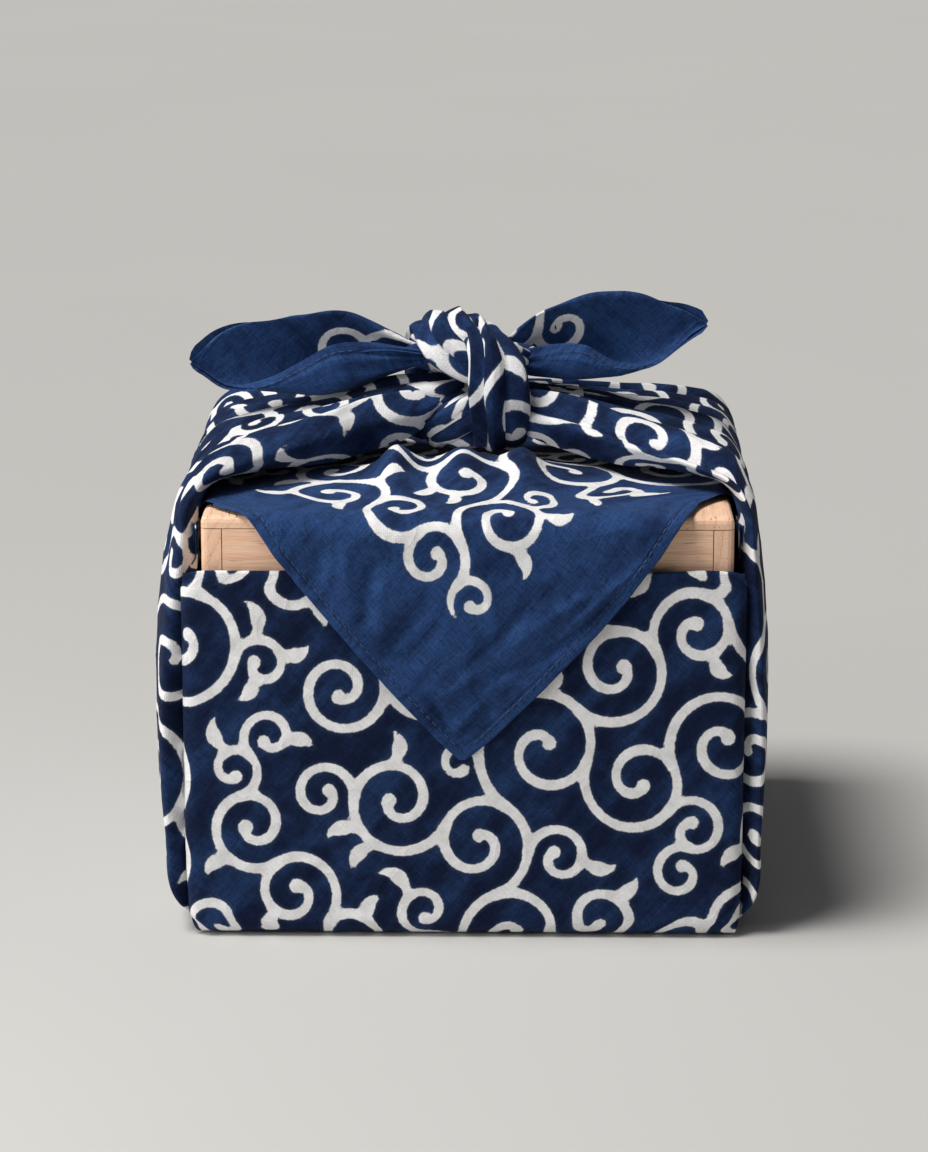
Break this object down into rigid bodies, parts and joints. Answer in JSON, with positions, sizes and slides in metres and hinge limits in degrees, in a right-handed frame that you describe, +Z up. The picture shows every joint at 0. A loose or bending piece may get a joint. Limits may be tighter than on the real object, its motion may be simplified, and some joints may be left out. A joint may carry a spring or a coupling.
{
  "type": "furoshiki wrap on a wooden box",
  "caption": "Square patterned wrapping cloth tied round a plain square wooden box, with a pointed front flap and a square knot with two free ears on top.",
  "frame": {"origin": "middle of the cloth's flat underside, below the box's centre", "axes": "+Z up through the knot, +X to the right seen from the front, -Y out of the front, where the flap hangs"},
  "size_m": [0.2159, 0.1946, 0.2121],
  "materials": {
    "indigo_cotton": "matte woven cotton, indigo with white arabesque scrolls",
    "pine": "bare planed softwood, edges rounded"
  },
  "bodies": {
    "root": {"furoshiki": "indigo_cotton", "box_lid": "pine", "box_floor": "pine", "box_left_wall": "pine", "box_right_wall": "pine", "box_front_wall": "pine", "box_back_wall": "pine"}
  },
  "joints": []
}
